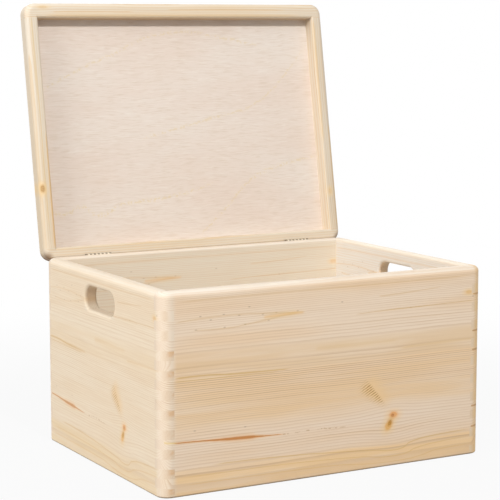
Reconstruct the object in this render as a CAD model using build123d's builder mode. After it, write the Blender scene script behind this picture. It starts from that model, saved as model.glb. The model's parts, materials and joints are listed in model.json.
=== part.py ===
"""Finger-jointed pine storage box with a hinged lid, standing open."""

import os

from build123d import *

# Driving dimensions in millimetres: X to the right, Y to the back, Z up from the table.
box_width = 400.0
box_depth = 300.0
body_height = 213.0
lid_height = 21.5
wall = 15.0
lid_front_wall = 17.5  # the front rail is a little wider, to lift the lid by
corner_radius = 13.0
seam = 0.5  # between the rim and the closed lid
open_angle = 100.0  # degrees, from closed to where the lid's back edge meets the body's

# Rounded edges, milled after the corners are glued.
rim_round = 6.0
foot_round = 2.0
lid_top_round = 6.0
lid_lip_round = 6.0
inner_round = 3.0

# Finger joints: the sides' fingers start at the table and end below the rim.
finger_height = 10.2
finger_pitch = 2 * finger_height
finger_count = int(body_height // finger_pitch)
lid_finger_height = 7.2

# Plywood: the bottom lies in a groove, the lid panel is let into the top of the rails.
bottom_ply = 5.0
bottom_recess = 7.0
lid_ply = 5.0
groove_depth = 6.0
ply_clearance = 0.1

# Hand holes in the two sides.
slot_length = 76.0
slot_height = 26.0
slot_drop = 16.5  # below the rim
slot_round = 3.5

# Two press-in hinges, their barrels sunk in the rounded back edge and their leaves in kerfs.
hinge_inset = 65.5  # from each end of the box to the middle of a hinge
hinge_length = 32.0
pin_inset = 3.25  # in from the back face
pin_drop = 0.8  # below the rim
pin_radius = 0.9
pin_clearance = 0.05
knuckle_count = 13
knuckle_radius = 2.0
knuckle_gap = 0.2
barrel_gap = 0.5  # round the barrel and past its ends
leaf_reach = 14.0  # from the pin into the wood
leaf_thickness = 1.0
leaf_inset = 1.4  # from the pin in to the middle of the leaf
leaf_corner = 1.5
kerf_clearance = 0.05
overrun = 1.0  # past a face, for cuts

inner_width = box_width - 2 * wall
panel_width = inner_width + 2 * groove_depth
panel_corner = corner_radius - wall + groove_depth
lid_base = body_height + seam
lid_ledge = lid_base + lid_height - lid_ply
back_face = box_depth / 2
pin_y = back_face - pin_inset
pin_z = body_height - pin_drop
pin_axis = Axis((0, pin_y, pin_z), (1, 0, 0))
leaf_y = pin_y - leaf_inset
barrel_space = 2 * (knuckle_radius + barrel_gap)
groove_length = hinge_length + 2 * barrel_gap
kerf_length = hinge_length + 2 * kerf_clearance
kerf_reach = leaf_reach + kerf_clearance
knuckle_pitch = hinge_length / knuckle_count
front_back = (("front", back_face), ("back", -back_face + wall))
left_right = (("left", -box_width / 2), ("right", box_width / 2 - wall))
hinge_x = box_width / 2 - hinge_inset
hinge_places = (("left", -hinge_x), ("right", hinge_x))

os.makedirs("parts", exist_ok=True)


def save(shape, name):
    shape.label = name
    export_step(shape, f"parts/{name}.step")


def swing_open(closed):
    return closed.rotate(pin_axis, -open_angle)


def wall_ring(base, height, front, top_round, base_round, groove_base, groove_height):
    """The four walls in one piece, with their rounded edges and the groove for a panel."""
    middle_y = (front - wall) / 2
    inner_depth = box_depth - front - wall
    with BuildPart() as ring:
        with BuildSketch(Plane.XY.offset(base)):
            RectangleRounded(box_width, box_depth, corner_radius)
            with Locations((0, middle_y)):
                Rectangle(inner_width, inner_depth, mode=Mode.SUBTRACT)
        extrude(amount=height)
        fillet(ring.faces().sort_by(Axis.Z)[-1].outer_wire().edges(), top_round)
        fillet(ring.faces().sort_by(Axis.Z)[0].outer_wire().edges(), base_round)
        seam_face = ring.faces().sort_by(Axis.Z)[0 if base else -1]
        fillet(seam_face.inner_wires()[0].edges(), inner_round)
        with BuildSketch(Plane.XY.offset(groove_base)):
            with Locations((0, middle_y)):
                RectangleRounded(
                    panel_width + 2 * ply_clearance,
                    inner_depth + 2 * (groove_depth + ply_clearance),
                    panel_corner + ply_clearance,
                )
        extrude(amount=groove_height, mode=Mode.SUBTRACT)
    return ring.part


def plywood(base, front, thickness):
    with BuildPart() as sheet:
        with BuildSketch(Plane.XY.offset(base)):
            with Locations((0, (front - wall) / 2)):
                RectangleRounded(panel_width, box_depth - front - wall + 2 * groove_depth, panel_corner)
        extrude(amount=thickness)
    return sheet.part


def finger_levels(count):
    """Middle heights of the sides' fingers, counted up from the table."""
    return [finger_height / 2 + i * finger_pitch for i in range(count)]


def notched_face(base, height, levels, tall):
    """Outline of a front or back wall seen square on, notched at the ends."""
    with Locations((0, base + height / 2)):
        Rectangle(box_width, height)
    with Locations(*[(side * (box_width - wall) / 2, level) for side in (-1, 1) for level in levels]):
        Rectangle(wall, tall, mode=Mode.SUBTRACT)


def fingered_face(base, height, front, levels, tall):
    """Outline of a side wall seen square on, with fingers that reach through the front and back."""
    with Locations(((front - wall) / 2, base + height / 2)):
        Rectangle(box_depth - front - wall, height)
    with Locations(*[((front - box_depth) / 2, level) for level in levels]):
        Rectangle(front, tall)
    with Locations(*[((box_depth - wall) / 2, level) for level in levels]):
        Rectangle(wall, tall)


def kerf_face(upward):
    """End view of the slot for a leaf; upward is 1 in the lid and -1 in the body."""
    with Locations((leaf_y, pin_z + upward * kerf_reach / 2)):
        Rectangle(leaf_thickness + 2 * kerf_clearance, kerf_reach)


def barrel_face(upward):
    """End view of the groove for a barrel, open at the seam; upward as in kerf_face."""
    rise = pin_drop + overrun
    with Locations((pin_y, pin_z)):
        Circle(barrel_space / 2)
    with Locations((pin_y, pin_z - upward * rise / 2)):
        Rectangle(barrel_space, rise)


def hinge_cuts(upward):
    """Grooves and kerfs for both hinges, to be cut from the back wall or the lid's back rail."""
    with BuildPart() as cuts:
        for _, middle_x in hinge_places:
            with BuildSketch(Plane.YZ.offset(middle_x - groove_length / 2)):
                barrel_face(upward)
            extrude(amount=groove_length)
            with BuildSketch(Plane.YZ.offset(middle_x - kerf_length / 2)):
                kerf_face(upward)
            extrude(amount=kerf_length)
    return cuts.part


# Body: four walls, cut from one ring by their finger joints.
body_ring = wall_ring(0, body_height, wall, rim_round, foot_round, bottom_recess, bottom_ply + ply_clearance)
body_levels = finger_levels(finger_count)
slot_level = body_height - slot_drop - slot_height / 2

for name, offset in front_back:
    with BuildPart() as panel:
        add(body_ring)
        with BuildSketch(Plane.XZ.offset(offset)):
            notched_face(0, body_height, body_levels, finger_height)
        extrude(amount=-wall, mode=Mode.INTERSECT)
        if name == "back":
            add(hinge_cuts(-1), mode=Mode.SUBTRACT)
    save(panel.part, f"{name}_panel")

for name, offset in left_right:
    with BuildPart() as panel:
        add(body_ring)
        with BuildSketch(Plane.YZ.offset(offset)):
            fingered_face(0, body_height, wall, body_levels, finger_height)
        extrude(amount=wall, mode=Mode.INTERSECT)
        with BuildSketch(Plane.YZ.offset(offset)):
            with Locations((0, slot_level)):
                SlotOverall(slot_length, slot_height)
        extrude(amount=wall, mode=Mode.SUBTRACT)
        slot_edges = panel.edges().filter_by_position(Axis.Y, -slot_length / 2, slot_length / 2)
        slot_low = slot_level - slot_height / 2
        slot_high = slot_level + slot_height / 2
        slot_edges = slot_edges.filter_by_position(Axis.Z, slot_low, slot_high)
        outside = slot_edges.group_by(Axis.X)[0]
        inside = slot_edges.group_by(Axis.X)[-1]
        fillet(outside + inside, slot_round)
    save(panel.part, f"{name}_panel")

save(plywood(bottom_recess, wall, bottom_ply), "bottom_panel")

# Lid: four rails and a panel, drawn closed and swung open about the hinge pins.
lid_ring = wall_ring(
    lid_base, lid_height, lid_front_wall, lid_top_round, lid_lip_round, lid_ledge, lid_ply + overrun
)
lid_levels = [lid_base + lid_height / 2]

for name, offset in front_back:
    with BuildPart() as rail:
        add(lid_ring)
        with BuildSketch(Plane.XZ.offset(offset)):
            notched_face(lid_base, lid_height, lid_levels, lid_finger_height)
        extrude(amount=-lid_front_wall if name == "front" else -wall, mode=Mode.INTERSECT)
        if name == "back":
            add(hinge_cuts(1), mode=Mode.SUBTRACT)
    save(swing_open(rail.part), f"lid_{name}_rail")

for name, offset in left_right:
    with BuildPart() as rail:
        add(lid_ring)
        with BuildSketch(Plane.YZ.offset(offset)):
            fingered_face(lid_base, lid_height, lid_front_wall, lid_levels, lid_finger_height)
        extrude(amount=wall, mode=Mode.INTERSECT)
    save(swing_open(rail.part), f"lid_{name}_rail")

save(swing_open(plywood(lid_ledge, lid_front_wall, lid_ply)), "lid_panel")


def hinge_leaf(middle_x, upward, other_knuckles):
    """A leaf with its own knuckles; upward is 1 for the lid and -1 for the body."""
    start = middle_x - hinge_length / 2
    with BuildPart() as leaf:
        with BuildSketch(Plane.YZ.offset(start)):
            with Locations((pin_y, pin_z)):
                Circle(knuckle_radius)
            with Locations((leaf_y, pin_z + upward * leaf_reach / 2)):
                Rectangle(leaf_thickness, leaf_reach)
        extrude(amount=hinge_length)
        tips = leaf.edges().filter_by(Axis.Y).sort_by(Axis.Z)
        fillet(tips[-2:] if upward > 0 else tips[:2], leaf_corner)
        for i in other_knuckles:
            with BuildSketch(Plane.YZ.offset(start + i * knuckle_pitch - knuckle_gap / 2)):
                with Locations((pin_y, pin_z)):
                    Rectangle(barrel_space, barrel_space)
            extrude(amount=knuckle_pitch + knuckle_gap, mode=Mode.SUBTRACT)
        with BuildSketch(Plane.YZ.offset(start)):
            with Locations((pin_y, pin_z)):
                Circle(pin_radius + pin_clearance)
        extrude(amount=hinge_length, mode=Mode.SUBTRACT)
    return leaf.part


# Hinges: the body leaf has the outer knuckles, and the pin stays with it.
even_knuckles = range(0, knuckle_count, 2)
odd_knuckles = range(1, knuckle_count, 2)

for name, middle_x in hinge_places:
    save(hinge_leaf(middle_x, -1, odd_knuckles), f"{name}_hinge_body_leaf")
    save(swing_open(hinge_leaf(middle_x, 1, even_knuckles)), f"{name}_hinge_lid_leaf")
    with BuildPart() as pin:
        with BuildSketch(Plane.YZ.offset(middle_x - hinge_length / 2)):
            with Locations((pin_y, pin_z)):
                Circle(pin_radius)
        extrude(amount=hinge_length)
    save(pin.part, f"{name}_hinge_pin")
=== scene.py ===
import json
import math

import bpy
from mathutils import Matrix, Vector

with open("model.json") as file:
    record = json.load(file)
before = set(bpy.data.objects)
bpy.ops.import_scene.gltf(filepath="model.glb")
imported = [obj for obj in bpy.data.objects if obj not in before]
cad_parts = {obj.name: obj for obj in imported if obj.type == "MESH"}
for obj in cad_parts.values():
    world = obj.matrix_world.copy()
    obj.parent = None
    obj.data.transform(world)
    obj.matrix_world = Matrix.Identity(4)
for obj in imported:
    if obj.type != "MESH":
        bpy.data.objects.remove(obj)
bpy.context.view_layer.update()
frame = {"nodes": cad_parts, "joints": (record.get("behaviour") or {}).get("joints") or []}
pieces = frame["nodes"]
lidHinge = frame["joints"][0]
print("frame loaded:", len(pieces), "pieces")


# small helpers for the node trees: each takes sockets or plain numbers
def wire(tree, value, socket):
    if isinstance(value, bpy.types.NodeSocket):
        tree.links.new(value, socket)
    else:
        socket.default_value = value


def calc(tree, kind, *values, clamp=False):
    node = tree.nodes.new("ShaderNodeMath")
    node.operation = kind
    node.use_clamp = clamp
    for socket, value in zip(node.inputs, values):
        wire(tree, value, socket)
    return node.outputs[0]


def chain(tree, kind, values):  # a sum, a product or the least of several
    answer = values[0]
    for value in values[1:]:
        answer = calc(tree, kind, answer, value)
    return answer


def product(tree, *values):
    return chain(tree, "MULTIPLY", values)


def centred(tree, value, spread):  # noise of 0 to 1 spread evenly about zero
    return calc(tree, "MULTIPLY_ADD", value, spread, -spread / 2)


def vectorCalc(tree, kind, *values, answer=0):
    node = tree.nodes.new("ShaderNodeVectorMath")
    node.operation = kind
    for socket, value in zip(node.inputs, values):
        wire(tree, value, socket)
    return node.outputs[answer]


def join(tree, x, y, z):
    node = tree.nodes.new("ShaderNodeCombineXYZ")
    for socket, value in zip(node.inputs, (x, y, z)):
        wire(tree, value, socket)
    return node.outputs[0]


def split(tree, vector):
    node = tree.nodes.new("ShaderNodeSeparateXYZ")
    wire(tree, vector, node.inputs[0])
    return dict(zip("xyz", node.outputs))


def ease(tree, value, low, high, toLow=0.0, toHigh=1.0):  # smooth step
    node = tree.nodes.new("ShaderNodeMapRange")
    node.interpolation_type = "SMOOTHSTEP"
    numbers = {"Value": value, "From Min": low, "From Max": high, "To Min": toLow, "To Max": toHigh}
    for name, number in numbers.items():
        wire(tree, number, node.inputs[name])
    return node.outputs[0]


def window(tree, value, rise, fall):  # eases in over rise and out over fall
    return product(tree, ease(tree, value, *rise), ease(tree, value, *fall, 1.0, 0.0))


def curve(tree, part, stops):  # smooth line through (0 to 1, value) stops
    low, high = min(value for _, value in stops), max(value for _, value in stops)
    span = max(high - low, 0.001)
    node = tree.nodes.new("ShaderNodeFloatCurve")
    wire(tree, part, node.inputs["Value"])
    points = node.mapping.curves[0].points
    points[0].location = (0, (stops[0][1] - low) / span)
    points[1].location = (1, (stops[-1][1] - low) / span)
    for spot, value in stops[1:-1]:
        points.new(spot, (value - low) / span)
    node.mapping.update()
    return calc(tree, "MULTIPLY_ADD", node.outputs[0], span, low)


def tint(tree, share, under, over):
    node = tree.nodes.new("ShaderNodeMix")
    node.data_type = "RGBA"
    wire(tree, share, node.inputs["Factor"])
    for socket, value in ((node.inputs[6], under), (node.inputs[7], over)):
        wire(tree, (*value, 1) if isinstance(value, tuple) else value, socket)
    return node.outputs[2]


# noise by name: blotch lengths in mm along, across and through the grain,
# the step from the board's seed, the detail and the roughness
noises = {
    "sway": ((260, 70, 70), 0, 2.0, 0.5), "ripple": ((45, 14, 14), 3, 2.0, 0.5),
    "ringWidth": ((16, 1, 1), 5, 1.0, 0.5), "patches": ((150, 22, 22), 7, 2.0, 0.5),
    "lens": ((130, 9, 9), 9, 2.0, 0.5), "drift": ((300, 30, 30), 11, 3.0, 0.5),
    "fibre": ((60, 1.0, 1.0), 13, 3.0, 0.6), "pores": ((2.5, 0.9, 0.9), 17, 2.0, 0.5),
    "wobble": ((9, 3, 3), 19, 2.0, 0.5), "dots": ((3.4, 3, 3), 23, 2.0, 0.5),
    "barbs": ((9, 5, 5), 29, 2.0, 0.5), "stain": ((60, 13, 13), 31, 2.0, 0.5),
    "veneerBend": ((60, 30, 30), 0, 2.0, 0.5), "veneerDrift": ((190, 60, 60), 1, 3.0, 0.5),
    "veneerRipple": ((30, 3.2, 3.2), 2, 3.0, 0.55), "veneerShine": ((18, 1.8, 1.8), 4, 2.0, 0.5),
    "veneerPores": ((16, 1.2, 1.2), 6, 2.0, 0.5), "veneerWobble": ((14, 6, 6), 19, 2.0, 0.5),
    "brushed": ((6, 0.25, 0.25), 1, 3.0, 0.5), "tarnish": ((3, 3, 3), 2, 3.0, 0.5),
}
noiseSpan = (0.3, 0.7)  # where nearly all of a noise's values lie


def cloud(tree, spot, name, seed):
    lengths, step, detail, rough = noises[name]
    start = seed + step
    sized = vectorCalc(tree, "MULTIPLY", spot, tuple(1 / length for length in lengths))
    moved = vectorCalc(tree, "ADD", sized, (start, start * 1.7, start * 2.3))
    node = tree.nodes.new("ShaderNodeTexNoise")
    wire(tree, moved, node.inputs["Vector"])
    for socket, number in (("Scale", 1.0), ("Detail", detail), ("Roughness", rough)):
        node.inputs[socket].default_value = number
    return node.outputs["Fac"]


def newFinish(name):
    finish = bpy.data.materials.new(name)
    finish.use_nodes = True
    shader = finish.node_tree.nodes["Principled BSDF"]
    return finish, finish.node_tree, shader


def addRelief(tree, shader, height, strength, depth):
    relief = tree.nodes.new("ShaderNodeBump")
    relief.inputs["Strength"].default_value = strength
    relief.inputs["Distance"].default_value = depth
    wire(tree, height, relief.inputs["Height"])
    wire(tree, relief.outputs["Normal"], shader.inputs["Normal"])


# places on a board: millimetres along the grain, across the face and through the thickness
closeAngle = math.radians(max(lidHinge["range_deg"]))
pinSpot = Vector(lidHinge["pos_m"]) * 1000
closeTurn = Matrix.Rotation(closeAngle, 3, "X")
inMillimetres = (1000, 1000, 1000)


def closedPlace(tree, value, kind):  # lid pieces are described closed
    turn = tree.nodes.new("ShaderNodeMapping")
    turn.vector_type = kind
    turn.inputs["Rotation"].default_value = (closeAngle, 0, 0)
    if kind == "POINT":
        turn.inputs["Location"].default_value = pinSpot - closeTurn @ pinSpot
    wire(tree, value, turn.inputs["Vector"])
    return turn.outputs[0]


def boardPlaces(tree, look):
    texture = tree.nodes.new("ShaderNodeTexCoord")
    spot = vectorCalc(tree, "MULTIPLY", texture.outputs["Object"], inMillimetres)
    facing = texture.outputs["Normal"]
    if look["lid"]:
        spot = closedPlace(tree, spot, "POINT")
        facing = closedPlace(tree, facing, "VECTOR")
    parts = split(tree, spot)
    along, across, through = (parts[axis] for axis in look["axes"])
    along = calc(tree, "MULTIPLY", along, look["stretch"])
    return {
        "along": along, "across": across, "through": through,
        "ends": calc(tree, "ABSOLUTE", along),  # distance from the middle
        "endOn": calc(tree, "ABSOLUTE", split(tree, facing)[look["axes"][0]]),  # 1 on end grain
        "spot": join(tree, along, across, through),
    }


def shadePlaces(tree, colour, shades, board):  # each shade names the places it eases in over
    for where, share, shadeTint in shades:
        inside = product(tree, share, *(ease(tree, board[place], low, high) for place, low, high in where))
        colour = tint(tree, inside, colour, shadeTint)
    return colour


def turned(tree, board, at, degrees):  # ways along and to the side of a line through a place
    runX = calc(tree, "SUBTRACT", board["along"], at[0])
    runY = calc(tree, "SUBTRACT", board["across"], at[1])
    cosine, sine = math.cos(math.radians(degrees)), math.sin(math.radians(degrees))
    longWay = calc(tree, "ADD", product(tree, runX, cosine), product(tree, runY, sine))
    sideWay = calc(tree, "SUBTRACT", product(tree, runY, cosine), product(tree, runX, sine))
    return longWay, sideWay


# what every pine board shares; places are millimetres along and across the board
pineBase = {
    "lid": False, "axes": "xzy", "stretch": 1.0, "seed": 0.0, "pitch": 20.4, "wobble": 3.0,
    "glueLine": -999.0,  # below the board where it has none
    "piths": ((0, 0), (0, 0)), "rings": (2.4, 2.4), "ringDrift": 3.0, "sway": 7.0, "ripple": 1.3,
    "lateWood": ((0.42, 0.88), (0.92, 1.0)),  # where in a ring it darkens and where it ends
    "ringTone": {"power": 1.5, "span": 0.55, "least": 0.4},  # some rings stand out more than others
    "patchy": (0.5, 1.0), "endFade": (0.3, 0.8, 1.0, 0.4),  # rings fade in patches and on end grain
    "pale": (0.89, 0.73, 0.57), "warm": (0.865, 0.65, 0.445), "driftEdges": (0.34, 0.68),
    # pales ease paler colours over places before the rings, partly painted light; the last list eases
    # end-grain tints and painted shade over places after the marks
    "bands": [], "lensEdges": (0.36, 0.6, 0.35, 1.0), "pales": [], "finalTintsAndShade": [],
    "lateTint": (0.65, 0.44, 0.265), "contrast": (0.5, 0.5), "dense": [], "denseSoft": ((-8, 4), (-2, 2)),
    "fibreTint": (0.70, 0.50, 0.32), "fibreEdges": (0.35, 0.7, 0.0, 0.2),
    "endTint": (0.66, 0.44, 0.29), "endShade": (0.084, 0.14), "endEdges": (0.45, 0.95),
    "marked": 1.0, "knots": [], "lines": [], "feathers": [], "specks": [],
    "speckSize": (2.0, 0.75), "speckTint": (0.40, 0.27, 0.17), "speckShare": 0.6, "speckEdges": (0.3, 1.1),
    "gloss": (0.5, 0.68), "specular": 0.28, "relief": (0.2, 0.0005), "lateRelief": -0.5,
}


# growth rings, round one pith below the glue line and another above it
def pushAside(tree, board, knots):  # the rings part round each knot
    pushes = []
    for knot in knots:
        offX = calc(tree, "SUBTRACT", board["along"], knot["at"][0])
        offY = calc(tree, "SUBTRACT", board["across"], knot["at"][1])
        runX = calc(tree, "DIVIDE", offX, knot["flow"][0])
        runY = calc(tree, "DIVIDE", offY, knot["flow"][1])
        spread = calc(tree, "ADD", product(tree, runX, runX), product(tree, runY, runY))
        fade = calc(tree, "EXPONENT", product(tree, spread, -1.0))
        pushes.append(product(tree, runY, fade, -knot["push"]))
    return pushes


def ringCount(tree, board, look, pith, width):
    fromPith = calc(tree, "SUBTRACT", board["moved"], pith[0])
    behind = calc(tree, "SUBTRACT", board["through"], pith[1])
    square = calc(tree, "ADD", product(tree, fromPith, fromPith), product(tree, behind, behind))
    radius = calc(tree, "SQRT", square)
    uneven = cloud(tree, join(tree, radius, 0.0, 0.0), "ringWidth", look["seed"])
    return calc(tree, "MULTIPLY_ADD", uneven, look["ringDrift"], calc(tree, "DIVIDE", radius, width))


def growthRings(tree, board, look):  # adds the swayed height, the upper board and the late wood
    spot, seed, tone = board["spot"], look["seed"], look["ringTone"]
    sway = centred(tree, cloud(tree, spot, "sway", seed), look["sway"])
    ripple = centred(tree, cloud(tree, spot, "ripple", seed), look["ripple"])
    pushes = pushAside(tree, board, look["knots"])
    board["moved"] = chain(tree, "ADD", [board["across"], sway, ripple, *pushes])
    board["upper"] = calc(tree, "GREATER_THAN", board["moved"], look["glueLine"])
    below, above = (ringCount(tree, board, look, *each) for each in zip(look["piths"], look["rings"]))
    count = calc(tree, "MULTIPLY_ADD", board["upper"], calc(tree, "SUBTRACT", above, below), below)
    ringNumber = tree.nodes.new("ShaderNodeTexWhiteNoise")
    ringNumber.noise_dimensions = "1D"
    wire(tree, calc(tree, "FLOOR", count), ringNumber.inputs["W"])
    lateLine = window(tree, calc(tree, "FRACT", count), *look["lateWood"])
    depth = calc(tree, "POWER", ringNumber.outputs["Value"], tone["power"])
    depth = calc(tree, "MULTIPLY_ADD", depth, tone["span"], tone["least"])
    patchy = ease(tree, cloud(tree, spot, "patches", seed), *noiseSpan, *look["patchy"])
    board["late"] = product(tree, lateLine, depth, patchy, ease(tree, board["endOn"], *look["endFade"]))


# colour of the sawn board: broad drifts, bands, pale places (partly painted light), rings, fibres, end grain
def sawnColour(tree, board, look):
    spot, seed, moved = board["spot"], look["seed"], board["moved"]
    drift = ease(tree, cloud(tree, spot, "drift", seed), *look["driftEdges"])
    colour = tint(tree, drift, look["pale"], look["warm"])
    lens = ease(tree, cloud(tree, spot, "lens", seed), *look["lensEdges"])
    for low, high, soft, share, bandTint in look["bands"]:
        inside = window(tree, moved, (low - soft[0], low), (high, high + soft[1]))
        colour = tint(tree, product(tree, inside, lens, share), colour, bandTint)
    colour = shadePlaces(tree, colour, look["pales"], board)
    lower, upper = look["contrast"]
    contrast = calc(tree, "MULTIPLY_ADD", board["upper"], upper - lower, lower)
    rise, fall = look["denseSoft"]
    for low, high, more in look["dense"]:  # zones where the rings stand out
        zone = window(tree, moved, [low + step for step in rise], [high + step for step in fall])
        contrast = calc(tree, "ADD", contrast, product(tree, zone, more))
    colour = tint(tree, product(tree, board["late"], contrast), colour, look["lateTint"])
    colour = tint(tree, ease(tree, board["fibre"], *look["fibreEdges"]), colour, look["fibreTint"])
    pores = ease(tree, cloud(tree, spot, "pores", seed), *noiseSpan, *look["endShade"])
    endGrain = product(tree, ease(tree, board["endOn"], *look["endEdges"]), pores)
    return tint(tree, endGrain, colour, look["endTint"])


# marks on the board, with the numbers that shape their edges
lineEdges = {  # start and end are shares of its run, halo and core are half widths
    "start": (0.0, 0.06), "end": (0.9, 1.0), "breaks": (0.46, 0.58), "halo": (0.6, 3.2), "core": (0.4, 1.2),
}
knotEdges = {  # halo and core are shares of its size
    "halo": (0.7, 2.4), "core": (0.4, 1.2), "ragged": 0.2, "ringStep": 14.0, "ringDepth": 0.18,
}
featherEdges = {  # start and reach are millimetres; end, taper and soft are shares of its size
    "start": (-7.0, 7.0), "end": 0.5, "taper": 0.7, "soft": 0.8, "reach": (0.0, 4.0),
    "barbs": (-0.2, 0.9), "uneven": (0.34, 0.6, 0.4), "ragged": 0.5,
}


def drawSpecks(tree, colour, board, look):  # resin ducts
    if not look["specks"]:
        return colour
    length, height = look["speckSize"]
    flatX = calc(tree, "DIVIDE", board["along"], length)
    flatY = calc(tree, "DIVIDE", board["across"], height)
    flat = join(tree, flatX, flatY, 0.0)
    spots = [(x / length, y / height, 0) for x, y in look["specks"]]
    nearest = chain(tree, "MINIMUM", [vectorCalc(tree, "DISTANCE", flat, spot, answer=1) for spot in spots])
    share = ease(tree, nearest, *look["speckEdges"], look["speckShare"] * look["marked"], 0.0)
    return tint(tree, share, colour, look["speckTint"])


def drawLines(tree, colour, board, look):  # each follows a path of (along, across, half width)
    for line in look["lines"]:
        path = line["path"]
        start, run = path[0][0], path[-1][0] - path[0][0]
        part = calc(tree, "DIVIDE", calc(tree, "SUBTRACT", board["along"], start), run, clamp=True)
        height = curve(tree, part, [((x - start) / run, y) for x, y, _ in path])
        half = curve(tree, part, [((x - start) / run, size) for x, _, size in path])
        off = calc(tree, "SUBTRACT", board["across"], height)
        off = calc(tree, "ABSOLUTE", calc(tree, "MULTIPLY_ADD", board["wobble"], line["rough"], off))
        near = calc(tree, "DIVIDE", off, half)
        within = window(tree, part, lineEdges["start"], lineEdges["end"])
        if line["dots"]:
            broken = cloud(tree, board["spot"], "dots", look["seed"])
            within = product(tree, within, ease(tree, broken, *lineEdges["breaks"]))
        within = product(tree, within, look["marked"])
        halo = ease(tree, near, *lineEdges["halo"], line["halo"], 0.0)
        core = ease(tree, near, *lineEdges["core"], line["share"], 0.0)
        colour = tint(tree, product(tree, halo, within), colour, line["haloTint"])
        colour = tint(tree, product(tree, core, within), colour, line["coreTint"])
    return colour


def drawKnots(tree, colour, board, look):
    for knot in look["knots"]:
        length, height = knot["size"]
        longWay, sideWay = turned(tree, board, knot["at"], knot["turn"])
        sideWay = calc(tree, "ADD", sideWay, product(tree, board["wobble"], knotEdges["ragged"] * height))
        flatX = calc(tree, "DIVIDE", longWay, length)
        flatY = calc(tree, "DIVIDE", sideWay, height)
        gap = vectorCalc(tree, "LENGTH", join(tree, flatX, flatY, 0.0), answer=1)
        halo = ease(tree, gap, *knotEdges["halo"], knot["halo"] * look["marked"], 0.0)
        colour = tint(tree, halo, colour, knot["haloTint"])
        ringDepth = knotEdges["ringDepth"]  # of the knot's own fine rings
        grown = calc(tree, "SINE", product(tree, gap, knotEdges["ringStep"]))
        grown = calc(tree, "MULTIPLY_ADD", grown, ringDepth, 1 - ringDepth)
        core = ease(tree, gap, *knotEdges["core"], knot["share"] * look["marked"], 0.0)
        colour = tint(tree, product(tree, core, grown), colour, knot["coreTint"])
    return colour


def drawFeathers(tree, colour, board, look):  # slanting strokes that run down to a knot
    for feather in look["feathers"]:
        length, width = feather["size"]
        longWay, sideWay = turned(tree, board, feather["at"], feather["turn"])
        within = window(tree, longWay, featherEdges["start"], (length * featherEdges["end"], length))
        within = product(tree, within, look["marked"])
        taper = calc(tree, "MULTIPLY_ADD", longWay, featherEdges["taper"] * width / length, -width)
        inner = calc(tree, "ADD", taper, featherEdges["soft"] * width)
        within = product(tree, within, ease(tree, sideWay, taper, inner))
        patch = product(tree, within, ease(tree, sideWay, 0.0, feather["glow"], 1.0, 0.0))
        colour = tint(tree, product(tree, patch, feather["halo"]), colour, feather["haloTint"])
        _, barbWay = turned(tree, board, feather["at"], feather["barbTurn"])
        barbWay = calc(tree, "MULTIPLY_ADD", board["wobble"], featherEdges["ragged"], barbWay)
        barbs = calc(tree, "SINE", product(tree, barbWay, math.tau / feather["step"]))
        uneven = cloud(tree, board["spot"], "barbs", look["seed"])
        uneven = ease(tree, uneven, *featherEdges["uneven"], feather["share"])
        reach = ease(tree, sideWay, *featherEdges["reach"], 1.0, 0.0)
        strokes = product(tree, within, ease(tree, barbs, *featherEdges["barbs"]), uneven, reach)
        colour = tint(tree, strokes, colour, feather["tint"])
    return colour


def pine(name, look):
    finish, tree, shader = newFinish(name)
    board = boardPlaces(tree, look)
    spot, seed = board["spot"], look["seed"]
    board["rung"] = calc(tree, "FLOORED_MODULO", board["across"], look["pitch"])  # above each finger's foot
    board["stain"] = cloud(tree, spot, "stain", seed)
    board["fibre"] = cloud(tree, spot, "fibre", seed)
    board["wobble"] = centred(tree, cloud(tree, spot, "wobble", seed), look["wobble"])
    growthRings(tree, board, look)
    colour = sawnColour(tree, board, look)
    for draw in (drawSpecks, drawLines, drawKnots, drawFeathers):
        colour = draw(tree, colour, board, look)
    # end-grain tints and painted shade, eased over places after the marks
    colour = shadePlaces(tree, colour, look["finalTintsAndShade"], board)
    wire(tree, colour, shader.inputs["Base Color"])
    wire(tree, ease(tree, board["fibre"], *noiseSpan, *look["gloss"]), shader.inputs["Roughness"])
    shader.inputs["Specular IOR Level"].default_value = look["specular"]
    height = calc(tree, "MULTIPLY_ADD", board["late"], look["lateRelief"], board["fibre"])
    addRelief(tree, shader, height, *look["relief"])
    return finish


ringTint, ringHalo = (0.64, 0.41, 0.18), (0.82, 0.58, 0.31)
paleEnd = (0.86, 0.73, 0.585)
# painted shade for the lid's corners by the hinge
cornerShadeBrown = (0.24, 0.13, 0.06)


def ring(path, share, coreTint=ringTint, halo=0.2, haloTint=ringHalo, rough=0.25, dots=False):
    return {
        "path": path, "share": share, "coreTint": coreTint, "halo": halo, "haloTint": haloTint,
        "rough": rough, "dots": dots,
    }


def knotAt(at, size, turn, flow, push, share, halo, coreTint, haloTint):  # rings part by push over flow
    return {
        "at": at, "size": size, "turn": turn, "flow": flow, "push": push, "share": share, "halo": halo,
        "coreTint": coreTint, "haloTint": haloTint,
    }


# corners, rims and the inside, which are paler: the corners blend to one wood colour, the rims are partly a
# painted highlight, and the paler inside is painted light
def palePlaces(
    inner, end=("ends", 181, 188), insideLightTint=(0.80, 0.755, 0.64), rimTint=(0.775, 0.725, 0.64), reach=181
):
    inside = (("through", *inner), ("across", 212, 208), ("ends", reach, reach - 3))
    return [
        ((end,), 0.85, paleEnd),
        # paler rim, partly a painted highlight where the top catches the light
        ((("across", 207.5, 211.5),), 0.75, rimTint),
        # painted light: the inside walls made paler where less light reaches them
        (inside, 0.75, insideLightTint),
    ]


def rightEdge(place, low, share):  # the browner strip and the dark edge at the front's right corner: the strip is partly end grain and partly painted shade, the dark edge is painted shade where the rounded corner turns away from the light
    start = ("along", low, low + 6)
    return [
        (((place, 187, 192), start), share, (0.81, 0.56, 0.285)),
        (((place, 196.5, 199), start), 0.5, (0.45, 0.33, 0.23)),
    ]


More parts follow.
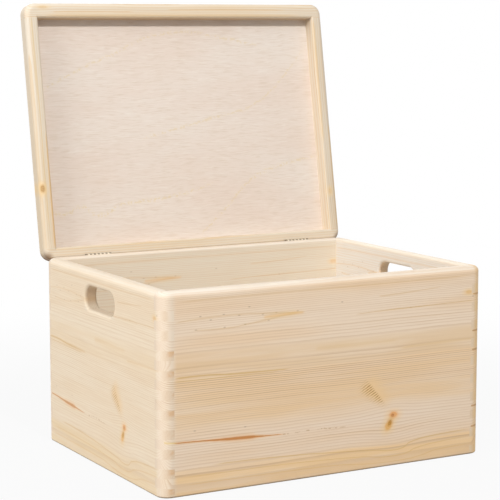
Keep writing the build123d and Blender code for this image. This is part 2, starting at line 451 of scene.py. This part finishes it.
footShade = [((("across", 2.6, 0.6),), 0.8, (0.28, 0.18, 0.10))]  # painted shade: dark line at the foot, where the rounding meets the floor
upperLines = [  # a long eye, an orange patch at its tip, two dark rings to the right, one under the rim
    ring([(-186, 178, 0.5), (-150, 183.5, 0.6), (-110, 184, 0.6), (-75, 182.5, 0.8), (-50, 181, 1.0),
          (-33, 180, 0.5)], 0.4),
    ring([(-165, 172, 0.4), (-125, 171, 0.6), (-100, 173, 0.7), (-75, 176, 1.0), (-52, 179, 1.2),
          (-34, 180, 0.5)], 0.4),
    ring([(-82, 178.6, 0.8), (-60, 179.4, 1.8), (-42, 180, 1.6), (-30, 180, 0.5)],
         0.5, (0.83, 0.53, 0.23), 0.3, (0.85, 0.60, 0.31)),
    ring([(30, 172, 0.3), (66, 173.4, 0.5), (103, 174, 0.8), (140, 174.5, 0.5), (198, 175.5, 0.5)], 0.6),
    ring([(60, 189.4, 0.4), (80, 190, 0.7), (110, 191.5, 0.5), (146, 194, 0.3)], 0.4),
    ring([(-186, 202, 0.6), (-60, 203, 0.8), (60, 203, 0.6), (198, 204, 0.8)], 0.35),
]
edgeMarks = [  # dark ends of the joints at the right corner
    ring([(186, height, 0.5), (193, height, 1.3), (203, height, 1.2)], 0.75, (0.50, 0.27, 0.11), 0.3)
    for height in (32, 55.4, 119.5, 141, 182.4)
]
glueLines = [  # along the joint of the two boards, and two soft streaks above it
    ring([(-186, 124, 0.9), (-160, 124.4, 0.9), (-120, 122.5, 1.1), (-75, 121.5, 0.8), (-45, 121, 0.4)],
         0.7, (0.65, 0.42, 0.17), 0.4),
    ring([(-186, 120.4, 0.5), (-150, 120.2, 0.5), (-100, 119.5, 0.5), (-60, 119, 0.3)],
         0.6, (0.66, 0.44, 0.19)),
    ring([(-20, 139, 1.0), (20, 140, 2.2), (60, 139.5, 1.6), (90, 140, 0.8)], 0.3, (0.76, 0.54, 0.29)),
    ring([(90, 130, 0.6), (130, 131.5, 1.2), (170, 132, 1.0), (198, 133, 0.8)], 0.35, (0.74, 0.52, 0.27)),
]
resinStreak = [
    ring([(-196, 58.4, 0.6), (-190, 57.8, 0.8), (-182, 57.2, 0.7)],
         0.6, (0.78, 0.57, 0.20), 0.4, (0.86, 0.66, 0.36)),
    ring([(-188, 57.2, 0.6), (-160, 56.3, 0.7), (-140, 55.2, 1.0), (-118, 54.2, 1.8), (-100, 53.6, 2.0),
          (-90, 53.2, 1.2), (-75, 52.4, 0.6), (-52, 51.8, 0.3)],
         0.95, (0.58, 0.24, 0.07), 0.5, (0.85, 0.51, 0.23)),
    ring([(-68, 52, 0.6), (-40, 51.5, 0.8), (-20, 52.5, 0.8), (5, 51, 0.7), (25, 50.5, 0.4)],
         0.7, (0.56, 0.36, 0.19), 0.0, dots=True),
]
footLines = [  # they dip below the knots
    ring([(-145, 29.5, 0.5), (-100, 29, 0.8), (-40, 27, 0.7), (0, 24.5, 0.6), (60, 20, 0.6),
          (85, 17.5, 0.6), (103, 23.5, 0.8), (140, 28, 0.8), (198, 29.5, 0.6)], 0.55, (0.68, 0.44, 0.17)),
    ring([(-180, 20, 0.5), (-60, 19, 0.7), (0, 17, 0.6), (45, 14.5, 0.6), (85, 11, 0.6), (110, 16, 0.7),
          (150, 20, 0.7), (198, 21.5, 0.6)], 0.45, (0.70, 0.45, 0.18)),
    ring([(-180, 12, 0.5), (0, 10, 0.7), (85, 5, 0.6), (140, 11, 0.7), (198, 13, 0.6)],
         0.4, (0.72, 0.46, 0.19)),
]
lowerLines = glueLines + resinStreak + footLines
upperKnots = [knotAt((181, 185), (5.0, 2.6), 0, (16, 8), 3, 0.6, 0.5, (0.76, 0.44, 0.14), (0.87, 0.60, 0.28))]
lowerFlow = (34, 22)
lowerKnots = [
    knotAt((82, 57), (6.6, 4.1), 0, lowerFlow, 6, 0.95, 0.5, (0.82, 0.37, 0.11), (0.88, 0.58, 0.28)),
    knotAt((81, 56.5), (2.5, 2.3), 0, lowerFlow, 0, 0.95, 0.3, (0.44, 0.13, 0.03), (0.76, 0.34, 0.10)),
    knotAt((75.5, 45.5), (7.0, 5.0), 55, lowerFlow, 6, 0.95, 0.5, (0.82, 0.45, 0.13), (0.87, 0.61, 0.30)),
    knotAt((77.5, 48.5), (4.2, 2.7), 62, lowerFlow, 0, 0.95, 0.4, (0.47, 0.22, 0.035), (0.70, 0.36, 0.09)),
]
upperSpecks = [
    (-143, 181), (-155, 185.5), (-128, 185.5), (-110, 183), (-98, 191), (-82, 182), (-66, 182.5),
    (-40, 182), (-103, 173), (-160, 172), (-75, 175), (-127, 172), (103, 174), (187, 188.5),
    (187, 180), (15, 187),
]
lowerSpecks = [(-162, 67.5), (-103, 65), (66, 73), (51, 87)]
frontBoard = dict(
    pineBase, axes="xzy", seed=1.3, glueLine=121.0, piths=((5, -88), (141, -125)), rings=(1.75, 1.9),
    contrast=(0.95, 0.85), dense=[(96, 121, 1.1), (126, 150, -0.2), (-9, 28, 0.25)],
    bands=[  # low, high, soft edges, share, tint
        (123, 140, (2, 14), 0.6, (0.79, 0.565, 0.325)),
        (80, 121, (25, 2), 0.6, (0.865, 0.61, 0.335)),
        (32, 66, (8, 10), 0.4, (0.89, 0.745, 0.615)),
        (-5, 24, (6, 5), 0.75, (0.90, 0.62, 0.315)),
    ],
    pales=palePlaces((-138, -135.5), ("along", -181, -188)) + rightEdge("along", 150, 0.65),
    finalTintsAndShade=footShade, lines=upperLines + edgeMarks + lowerLines,
    knots=upperKnots + lowerKnots, specks=upperSpecks + lowerSpecks,
    feathers=[{
        "at": (47, 96), "turn": -50, "size": (46, 19), "glow": 20, "barbTurn": 28, "step": 2.7,
        "share": 1.0, "halo": 0.9, "tint": (0.46, 0.25, 0.07), "haloTint": (0.86, 0.60, 0.32),
    }],
)
fingerFace = (("through", -194, -189), ("along", 188, 196))
fingerEnds = [  # browner from one finger to the next, and the two top ones pale
    ((("across", 152, 162), *fingerFace), 0.75, paleEnd),
    ((("rung", 2, 6), ("rung", 10.2, 9.2), ("across", 165, 155), *fingerFace, ("stain", 0.34, 0.56)),
     0.7, (0.70, 0.43, 0.22)),
]
slotFloorLight = [  # painted light: the pale foot of the hand hole, where light from the upper left falls in
    ((("ends", 53, 51), ("across", 167, 169.5), ("across", 180, 173)), 0.6, (0.88, 0.77, 0.61)),
]
leftBoard = dict(
    frontBoard, axes="yzx", stretch=-4 / 3, seed=4.7, piths=((5, -138), (141, -175)), marked=0.75,
    pale=(0.90, 0.765, 0.59), warm=(0.88, 0.72, 0.53), lateTint=(0.72, 0.53, 0.34),
    endShade=(0.36, 0.6), endTint=(0.70, 0.50, 0.32),
    contrast=(0.7, 0.6), dense=[(96, 121, 0.4), (126, 150, -0.35)],
    bands=[
        (123, 140, (2, 14), 0.5, (0.84, 0.665, 0.45)),
        (-5, 24, (6, 5), 0.6, (0.87, 0.68, 0.42)),
    ],
    pales=palePlaces((-188, -185.5), rimTint=(0.75, 0.68, 0.575)) + slotFloorLight,
    finalTintsAndShade=footShade + fingerEnds,
    lines=[dict(line, share=0.2) for line in upperLines[:2]] + upperLines[3:] + lowerLines,
)
rightKnot = knotAt((62, 96), (6.0, 4.0), 15, (26, 12), 6, 0.8, 0.6, (0.50, 0.25, 0.10), (0.84, 0.54, 0.26))
backKnot = dict(rightKnot, at=(-88, 72), turn=25)
rightBoard = dict(
    leftBoard, seed=8.9, piths=((5, 123), (141, 160)), marked=0.7,
    lines=upperLines, feathers=[], specks=upperSpecks, knots=upperKnots + [rightKnot],
    pales=palePlaces((188, 185.5), ("along", -181, -188), (0.78, 0.78, 0.76)),
    finalTintsAndShade=footShade + rightEdge("through", 190, 0.85),
)
backBoard = dict(
    frontBoard, seed=6.2, piths=((5, 73), (141, 110)), marked=0.65,
    lines=upperLines, feathers=[], specks=upperSpecks, knots=upperKnots + [backKnot],
    pales=palePlaces((138, 135.5), reach=189), finalTintsAndShade=footShade,
    contrast=(0.75, 0.65), dense=[], lateTint=(0.68, 0.49, 0.32),
)

# lid rails, described closed; painted shade along the seam, inside the front rail and at the hinge corners
seamShade = [((("across", 145.0, 147.2), ("through", 219.5, 217)), 0.75, (0.30, 0.18, 0.10))]
# painted shade on the front rail's inner face, which looks down when the lid is open
innerEdgeShade = [((("across", -134.0, -133.0), ("through", 216.5, 219)), 0.5, (0.55, 0.35, 0.18))]
# painted shade at the lid's corners by the hinge, which face down when the lid is open
sideCornerShade = [((("along", 139, 148),), 0.9, cornerShadeBrown)]
backCornerShade = [((("ends", 188, 197), ("across", 137, 146)), 0.85, cornerShadeBrown)]
railFlow = (14, 5)
lidRail = dict(
    pineBase, lid=True, axes="xyz", seed=2.4, piths=((-190, 190), (-190, 190)), rings=(2.5, 2.5), sway=8.0,
    pale=(0.78, 0.69, 0.565), warm=(0.76, 0.635, 0.475), lateTint=(0.66, 0.46, 0.25), contrast=(1.3, 1.3),
)
lidFront = dict(
    lidRail, finalTintsAndShade=seamShade + innerEdgeShade,
    lines=[
        ring([(-168, -139, 0.5), (-120, -139.5, 0.7), (-60, -139.5, 0.5)], 0.45),
        ring([(-20, -142, 0.5), (60, -142.5, 0.8), (150, -141.5, 0.5)], 0.4),
        # painted shade: a brown line along the inner edge, where the rounding turns into shade
        ring([(-182, -135.6, 0.8), (-60, -135.2, 1.2), (60, -135.4, 1.0), (182, -135.2, 0.8)],
             0.5, (0.68, 0.47, 0.24)),
    ],
    knots=[
        knotAt((-178, -144.8), (6.5, 2.0), 0, railFlow, 1, 0.55, 0.5, (0.66, 0.44, 0.20), (0.80, 0.60, 0.36)),
    ],
)
lidBack = dict(
    lidRail, seed=5.5, piths=((190, 260), (190, 260)), pale=(0.73, 0.65, 0.54), warm=(0.71, 0.605, 0.46),
    finalTintsAndShade=seamShade + backCornerShade,
)
sideRail = dict(
    lidRail, axes="yxz", pale=(0.745, 0.665, 0.55), warm=(0.725, 0.615, 0.465), finalTintsAndShade=sideCornerShade,
)
lidLeft = dict(
    sideRail, seed=7.1, piths=((-240, 190), (-240, 190)),
    lines=[
        ring([(-140, -193.5, 0.7), (-80, -193.5, 0.9), (0, -192.5, 0.5), (40, -193, 0.7), (120, -192, 0.5)],
             0.45, (0.70, 0.52, 0.24)),
        ring([(0, -187.4, 0.5), (60, -187, 1.2), (100, -187, 1.5), (142, -187.2, 1.2)],
             0.6, (0.70, 0.42, 0.16)),
    ],
    knots=[
        knotAt((66, -196.4), (5.4, 3.0), 0, railFlow, 2, 0.95, 0.7, (0.46, 0.25, 0.08), (0.82, 0.57, 0.27)),
    ],
)
lidRight = dict(
    sideRail, seed=9.6, piths=((240, 190), (240, 190)),
    lines=[
        ring([(-132, 187, 0.6), (-60, 187.2, 1.0), (30, 187, 0.6)], 0.5, (0.68, 0.46, 0.22)),
        # painted shade: a line along the outer edge, where the rounding turns away into shade
        ring([(0, 196, 0.6), (70, 197, 1.1), (138, 196.5, 0.6)], 0.5, (0.72, 0.47, 0.20)),
    ],
    knots=[
        knotAt((87, 190.5), (4.5, 2.6), 0, railFlow, 1, 0.4, 0.5, (0.72, 0.45, 0.17), (0.84, 0.62, 0.34)),
    ],
)

# plywood of the lid and the bottom
arcTints = {"coreTint": (0.72, 0.56, 0.33), "haloTint": (0.79, 0.67, 0.47), "rough": 0.8, "dots": True}
veneerArcs = [  # faint and broken
    ring([(-186, -48, 0.8), (-89, -90, 1.3), (1, -117, 1.3), (59, -111, 1.3), (133, -94, 0.8)],
         0.35, halo=0.3, **arcTints),
    ring([(-60, 12, 0.8), (51, -14, 1.3), (92, -23, 1.3), (129, -46, 1.3), (160, -76, 1.3),
          (187, -104, 0.8)], 0.35, halo=0.3, **arcTints),
    ring([(-186, 80, 1.0), (-167, 97, 1.6), (-143, 89, 1.6), (-121, 100, 1.6), (-91, 88, 1.4),
          (-38, 84, 1.2), (39, 66, 0.8)], 0.35, halo=0.5, **arcTints),
    ring([(10, 130, 0.8), (42, 106, 1.3), (98, 61, 1.5), (147, 47, 1.3), (187, 41, 0.8)],
         0.4, halo=0.35, **arcTints),
]
lidSheet = {
    "lid": True, "axes": "xyz", "stretch": 1.0, "seed": 3.3, "bend": 9.0, "wobble": 6.0,
    "pale": (0.80, 0.71, 0.63), "warm": (0.78, 0.66, 0.57), "driftEdges": (0.33, 0.66),
    "figureTint": (0.66, 0.53, 0.41), "rippleEdges": (0.5, 0.78, 0.0, 0.42),
    "poreEdges": (0.5, 0.7, 0.0, 0.42),
    "shineTint": (0.89, 0.825, 0.75), "shineEdges": (0.5, 0.75, 0.0, 0.294),
    "lines": veneerArcs, "marked": 1.0,
    "gloss": (0.52, 0.66), "specular": 0.28, "relief": (0.25, 0.0004),
}
bottomSheet = dict(
    lidSheet, lid=False, seed=6.6, lines=[], pale=(0.88, 0.79, 0.68), warm=(0.86, 0.75, 0.62),
)


def plywood(name, look):
    finish, tree, shader = newFinish(name)
    board = boardPlaces(tree, look)
    spot, seed = board["spot"], look["seed"]
    board["wobble"] = centred(tree, cloud(tree, spot, "veneerWobble", seed), look["wobble"])
    bend = calc(tree, "MULTIPLY_ADD", cloud(tree, spot, "veneerBend", seed), look["bend"], board["across"])
    bent = join(tree, board["along"], bend, board["through"])
    drift = ease(tree, cloud(tree, bent, "veneerDrift", seed), *look["driftEdges"])
    colour = tint(tree, drift, look["pale"], look["warm"])
    ripple = cloud(tree, bent, "veneerRipple", seed)  # short ripples of the peeled veneer
    colour = tint(tree, ease(tree, ripple, *look["rippleEdges"]), colour, look["figureTint"])
    shine = cloud(tree, bent, "veneerShine", seed)
    colour = tint(tree, ease(tree, shine, *look["shineEdges"]), colour, look["shineTint"])
    pores = cloud(tree, bent, "veneerPores", seed)
    colour = tint(tree, ease(tree, pores, *look["poreEdges"]), colour, look["figureTint"])
    colour = drawLines(tree, colour, board, look)
    wire(tree, colour, shader.inputs["Base Color"])
    wire(tree, ease(tree, ripple, *noiseSpan, *look["gloss"]), shader.inputs["Roughness"])
    shader.inputs["Specular IOR Level"].default_value = look["specular"]
    addRelief(tree, shader, calc(tree, "ADD", ripple, pores), *look["relief"])
    return finish


finishes = {
    "front_panel": pine("pineFront", frontBoard),
    "back_panel": pine("pineBack", backBoard),
    "left_panel": pine("pineLeft", leftBoard),
    "right_panel": pine("pineRight", rightBoard),
    "lid_front_rail": pine("pineLidFront", lidFront),
    "lid_back_rail": pine("pineLidBack", lidBack),
    "lid_left_rail": pine("pineLidLeft", lidLeft),
    "lid_right_rail": pine("pineLidRight", lidRight),
    "lid_panel": plywood("plyLid", lidSheet),
    "bottom_panel": plywood("plyBottom", bottomSheet),
}
print("wood finishes:", len(finishes))

# painted light and shade: the body leaves are a dark copy of the steel standing in for knuckles in shade, the
# lid leaves a pale copy standing in for lit knuckles
hingeLitAndShaded = {
    "body": {"tint": (0.38, 0.31, 0.23), "dark": (0.16, 0.12, 0.08), "gloss": (0.35, 0.55)},
    "lid": {"tint": (0.80, 0.72, 0.58), "dark": (0.50, 0.42, 0.30), "gloss": (0.3, 0.5)},
}
hingeWear = {"tarnishEdges": (0.45, 0.72, 0.0, 0.7), "relief": (0.1, 0.0001)}


def hingeFinish(name, look):
    finish, tree, shader = newFinish(name)
    texture = tree.nodes.new("ShaderNodeTexCoord")
    spot = vectorCalc(tree, "MULTIPLY", texture.outputs["Object"], inMillimetres)
    brushed = cloud(tree, spot, "brushed", 0.0)
    tarnish = ease(tree, cloud(tree, spot, "tarnish", 0.0), *hingeWear["tarnishEdges"])
    wire(tree, tint(tree, tarnish, look["tint"], look["dark"]), shader.inputs["Base Color"])
    shader.inputs["Metallic"].default_value = 1.0
    wire(tree, ease(tree, brushed, *noiseSpan, *look["gloss"]), shader.inputs["Roughness"])
    addRelief(tree, shader, brushed, *hingeWear["relief"])
    return finish


hingeSteel = {side: hingeFinish("hingeSteel" + side.title(), look) for side, look in hingeLitAndShaded.items()}
for name, piece in pieces.items():
    piece.data.materials.clear()
    piece.data.materials.append(finishes.get(name) or hingeSteel["lid" if "lid_leaf" in name else "body"])
print("finishes put on:", ", ".join(sorted(pieces)))

# studio: pale floor, soft light, camera
studio = {
    "aim": (0, 0, 0.2), "sky": 0.44,
    "key": {"turn": 6, "lift": 45, "far": 3.0, "size": 0.2, "power": 50},
    "leftSoft": {"turn": 82, "lift": 24, "far": 3.0, "size": 1.4, "power": 49},
    "backSoft": {"turn": 197, "lift": 20, "far": 3.0, "size": 1.6, "power": 26},
    "floorReach": 30.0, "floorDrop": 0.0003, "floorGrey": 0.36, "floorRough": 0.9,
    "floorGlow": (0.93, 1.0), "floorFade": (0.35, 1.1),  # beside the box and far from it
}
view = {"place": (-0.9493, -1.677, 0.4829), "turn": 29.16, "tip": 7.587, "lens": 123.73, "sensor": 36}
scene = bpy.context.scene


def seenDirectly(tree):
    path = tree.nodes.new("ShaderNodeLightPath")
    both = calc(tree, "MAXIMUM", path.outputs["Is Camera Ray"], path.outputs["Is Glossy Ray"])
    return calc(tree, "MAXIMUM", both, path.outputs["Is Transmission Ray"])


def addLamp(name, look):
    turn, lift = math.radians(look["turn"]), math.radians(look["lift"])
    level = math.cos(lift)
    away = Vector((-math.sin(turn) * level, -math.cos(turn) * level, math.sin(lift)))
    lamp = bpy.data.objects.new(name, bpy.data.lights.new(name, "AREA"))
    lamp.data.shape = "DISK"
    lamp.data.size = look["size"]
    lamp.data.energy = look["power"]
    lamp.location = Vector(studio["aim"]) + away * look["far"]
    lamp.rotation_euler = away.to_track_quat("Z", "Y").to_euler()
    scene.collection.objects.link(lamp)


def addSky():
    world = bpy.data.worlds.new("studio")
    world.use_nodes = True
    scene.world = world
    tree = world.node_tree
    sky = tree.nodes["Background"]
    sky.inputs["Color"].default_value = (1, 1, 1, 1)
    wire(tree, ease(tree, seenDirectly(tree), 0.0, 1.0, studio["sky"], 1.0), sky.inputs["Strength"])


def addFloor():
    far, low, grey = studio["floorReach"], -studio["floorDrop"], studio["floorGrey"]
    corners = [(-far, -far, low), (far, -far, low), (far, far, low), (-far, far, low)]
    mesh = bpy.data.meshes.new("floor")
    mesh.from_pydata(corners, [], [(0, 1, 2, 3)])
    floor = bpy.data.objects.new("floor", mesh)
    scene.collection.objects.link(floor)
    finish, tree, shader = newFinish("paleFloor")
    shader.inputs["Base Color"].default_value = (grey, grey, grey, 1)
    shader.inputs["Roughness"].default_value = studio["floorRough"]
    shader.inputs["Specular IOR Level"].default_value = 0.0
    glow = tree.nodes.new("ShaderNodeEmission")
    mix = tree.nodes.new("ShaderNodeMixShader")
    place = tree.nodes.new("ShaderNodeTexCoord").outputs["Object"]
    fromBox = vectorCalc(tree, "LENGTH", place, answer=1)
    glowShare = ease(tree, fromBox, *studio["floorFade"], *studio["floorGlow"])
    wire(tree, product(tree, seenDirectly(tree), glowShare), mix.inputs[0])
    wire(tree, shader.outputs[0], mix.inputs[1])
    wire(tree, glow.outputs[0], mix.inputs[2])
    wire(tree, mix.outputs[0], tree.nodes["Material Output"].inputs["Surface"])
    mesh.materials.append(finish)


def addCamera():
    camera = bpy.data.objects.new("camera", bpy.data.cameras.new("camera"))
    camera.location = view["place"]
    camera.rotation_euler = (math.radians(90 - view["tip"]), 0, math.radians(-view["turn"]))
    camera.data.sensor_width = view["sensor"]
    camera.data.lens = view["lens"]
    camera.data.clip_end = 100
    scene.collection.objects.link(camera)
    scene.camera = camera


for name in ("key", "leftSoft", "backSoft"):
    addLamp(name, studio[name])
addSky()
addFloor()
addCamera()
scene.view_settings.view_transform = "Standard"
print("studio and camera set")
